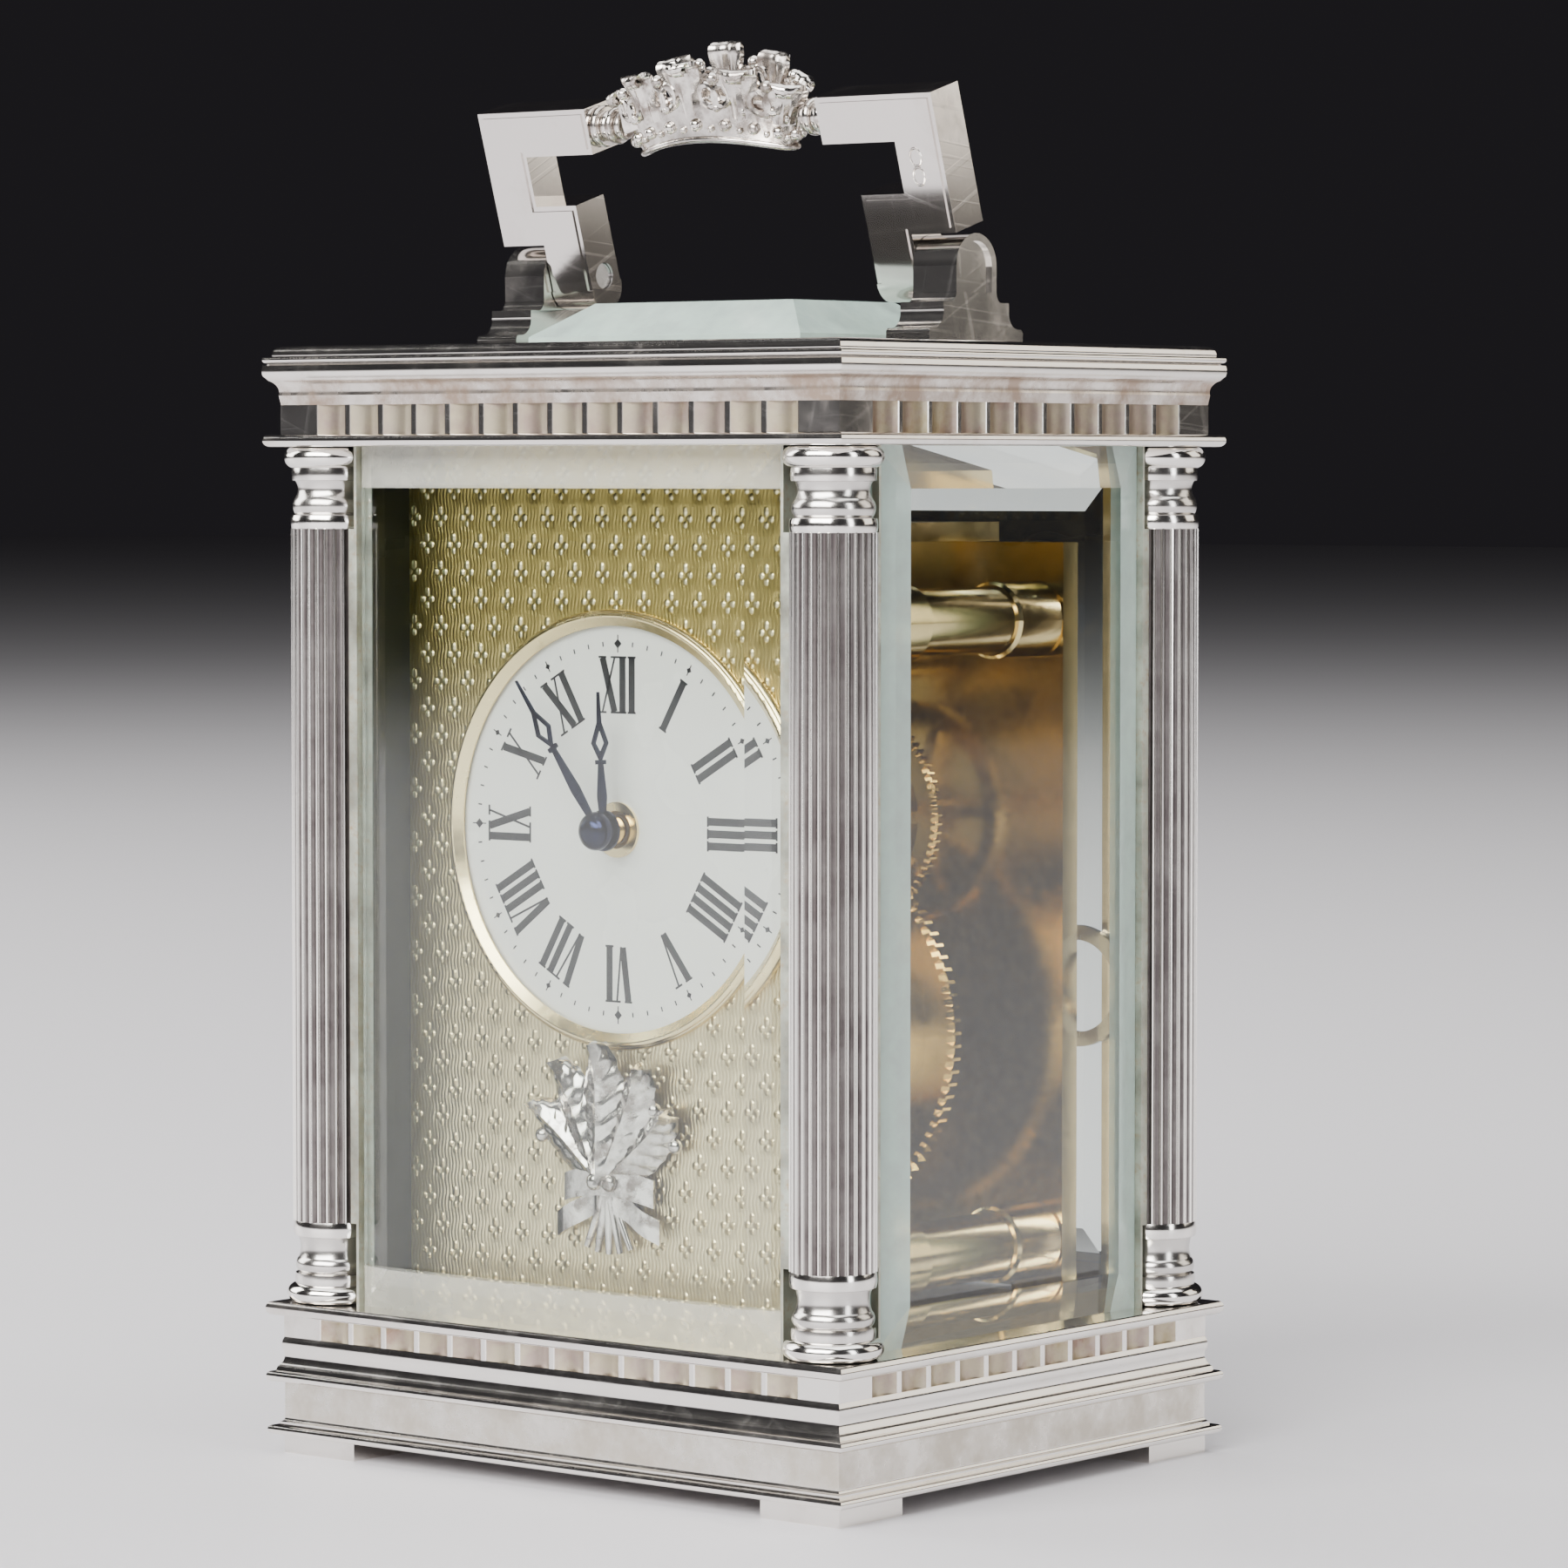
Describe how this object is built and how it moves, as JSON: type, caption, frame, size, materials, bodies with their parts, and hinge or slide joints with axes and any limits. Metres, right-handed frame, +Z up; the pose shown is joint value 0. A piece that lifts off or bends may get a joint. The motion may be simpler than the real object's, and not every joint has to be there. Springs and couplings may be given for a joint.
{
  "type": "carriage clock",
  "caption": "Small silver carriage clock with fluted corner columns, bevelled panes, folding Greek-key handle, gilt mask, enamel dial and a lever-platform movement.",
  "frame": {"origin": "under the middle of the base, at the level of the feet", "axes": "+Z up, -Y out of the dial, +X to the right as seen from the front"},
  "size_m": [0.07, 0.058, 0.1336],
  "materials": {
    "case_silver": "polished silver with tarnish in the hollows",
    "column_silver": "polished silver, dark tarnish between the flutes",
    "post_metal": "dull tarnished silver-gilt brass",
    "gilt": "engine-turned gilt",
    "movement_brass": "polished lacquered brass",
    "steel": "polished steel",
    "blued_steel": "dark blued steel",
    "enamel": "white enamel",
    "bevelled_glass": "clear bevelled glass with green edges"
  },
  "bodies": {
    "case": {"feet": "case_silver", "base_moulding": "case_silver", "base_dentil_band": "case_silver", "base_plate": "case_silver", "cornice_flange": "case_silver", "cornice_dentil_band": "case_silver", "cornice_moulding": "case_silver", "top_plate": "case_silver", "handle_bracket_left": "case_silver", "handle_bracket_right": "case_silver", "mask_badge": "case_silver", "column_front_left": "column_silver", "column_front_right": "column_silver", "column_back_left": "column_silver", "column_back_right": "column_silver", "corner_posts": "post_metal", "top_glass_frame": "post_metal", "dial_mask": "gilt", "dial_bezel": "gilt", "dial_collet": "gilt", "front_plate": "movement_brass", "back_plate": "movement_brass", "plate_pillars": "movement_brass", "platform": "movement_brass", "platform_cocks": "movement_brass", "handle_pins": "steel", "door_pins": "steel", "movement_screws": "steel", "click_spring": "steel", "door_ring": "steel", "dial_plate": "enamel", "front_glass": "bevelled_glass", "side_glass_left": "bevelled_glass", "side_glass_right": "bevelled_glass", "top_glass": "bevelled_glass"},
    "handle": {"handle_arm_left": "case_silver", "handle_arm_right": "case_silver", "handle_crest": "case_silver"},
    "back_door": {"door_frame": "case_silver", "door_glass": "bevelled_glass", "door_knob": "case_silver"},
    "centre_arbor": {"centre_wheel": "movement_brass", "cannon_pinion": "steel", "minute_hand": "blued_steel", "hand_nut": "blued_steel"},
    "hour_pipe": {"hour_wheel": "movement_brass", "hour_hand": "blued_steel"},
    "minute_wheel": {"minute_wheel": "movement_brass"},
    "going_barrel": {"barrel": "movement_brass", "barrel_cover": "movement_brass", "mainspring": "steel"},
    "winding_arbor": {"winding_arbor": "steel", "ratchet_wheel": "steel"},
    "click": {"click": "steel"},
    "third_wheel": {"third_wheel": "movement_brass"},
    "contrate_wheel": {"contrate_wheel": "movement_brass"},
    "escape_wheel": {"escape_wheel": "steel"},
    "pallet_lever": {"pallet_lever": "steel"},
    "balance": {"balance_wheel": "movement_brass", "hairspring": "steel"}
  },
  "joints": [
    {"name": "handle_fold", "type": "hinge", "parent": "case", "child": "handle", "pos_m": [0, 0, 0.1117], "axis": [1, 0, 0], "range_deg": [-102, 68]},
    {"name": "door_swing", "type": "hinge", "parent": "case", "child": "back_door", "pos_m": [-0.0239, 0.0258, 0.055], "axis": [0, 0, 1], "range_deg": [0, 100]},
    {"name": "centre_turn", "type": "hinge", "parent": "case", "child": "centre_arbor", "pos_m": [0, 0.005, 0.06], "axis": [0, 1, 0], "continuous": true},
    {"name": "hour_hand_turn", "type": "hinge", "parent": "case", "child": "hour_pipe", "pos_m": [0, -0.015, 0.06], "axis": [0, 1, 0], "continuous": true},
    {"name": "minute_wheel_turn", "type": "hinge", "parent": "case", "child": "minute_wheel", "pos_m": [0.006, -0.011, 0.06], "axis": [0, 1, 0], "continuous": true},
    {"name": "barrel_turn", "type": "hinge", "parent": "case", "child": "going_barrel", "pos_m": [-0.0035, 0.003, 0.03948], "axis": [0, 1, 0], "continuous": true},
    {"name": "third_wheel_turn", "type": "hinge", "parent": "case", "child": "third_wheel", "pos_m": [-0.0085, 0.009, 0.06804], "axis": [0, 1, 0], "continuous": true},
    {"name": "contrate_turn", "type": "hinge", "parent": "case", "child": "contrate_wheel", "pos_m": [0, 0.003, 0.07368], "axis": [0, 1, 0], "continuous": true},
    {"name": "escape_turn", "type": "hinge", "parent": "case", "child": "escape_wheel", "pos_m": [0, 0.00475, 0.0894], "axis": [0, 0, 1], "continuous": true},
    {"name": "winding_turn", "type": "hinge", "parent": "case", "child": "winding_arbor", "pos_m": [-0.0035, 0.01, 0.03948], "axis": [0, -1, 0], "range_deg": [0, 2160]},
    {"name": "click_lift", "type": "hinge", "parent": "case", "child": "click", "pos_m": [0.0057, 0.0225, 0.04689], "axis": [0, 1, 0], "range_deg": [0, 12], "stiffness_Nm_per_rad": 0.0002, "springref_deg": -2.86},
    {"name": "lever_rock", "type": "hinge", "parent": "case", "child": "pallet_lever", "pos_m": [0, 0.0092, 0.0895], "axis": [0, 0, 1], "range_deg": [-5, 5]},
    {"name": "balance_swing", "type": "hinge", "parent": "case", "child": "balance", "pos_m": [0, 0.0136, 0.0924], "axis": [0, 0, 1], "range_deg": [-270, 270], "stiffness_Nm_per_rad": 0.000002}
  ],
  "couplings": [
    {"joint": "hour_hand_turn", "follows": "centre_turn", "ratio": 0.083333},
    {"joint": "minute_wheel_turn", "follows": "centre_turn", "ratio": -0.33333},
    {"joint": "barrel_turn", "follows": "centre_turn", "ratio": -0.125},
    {"joint": "third_wheel_turn", "follows": "centre_turn", "ratio": -8},
    {"joint": "contrate_turn", "follows": "centre_turn", "ratio": 60},
    {"joint": "escape_turn", "follows": "centre_turn", "ratio": 600}
  ]
}
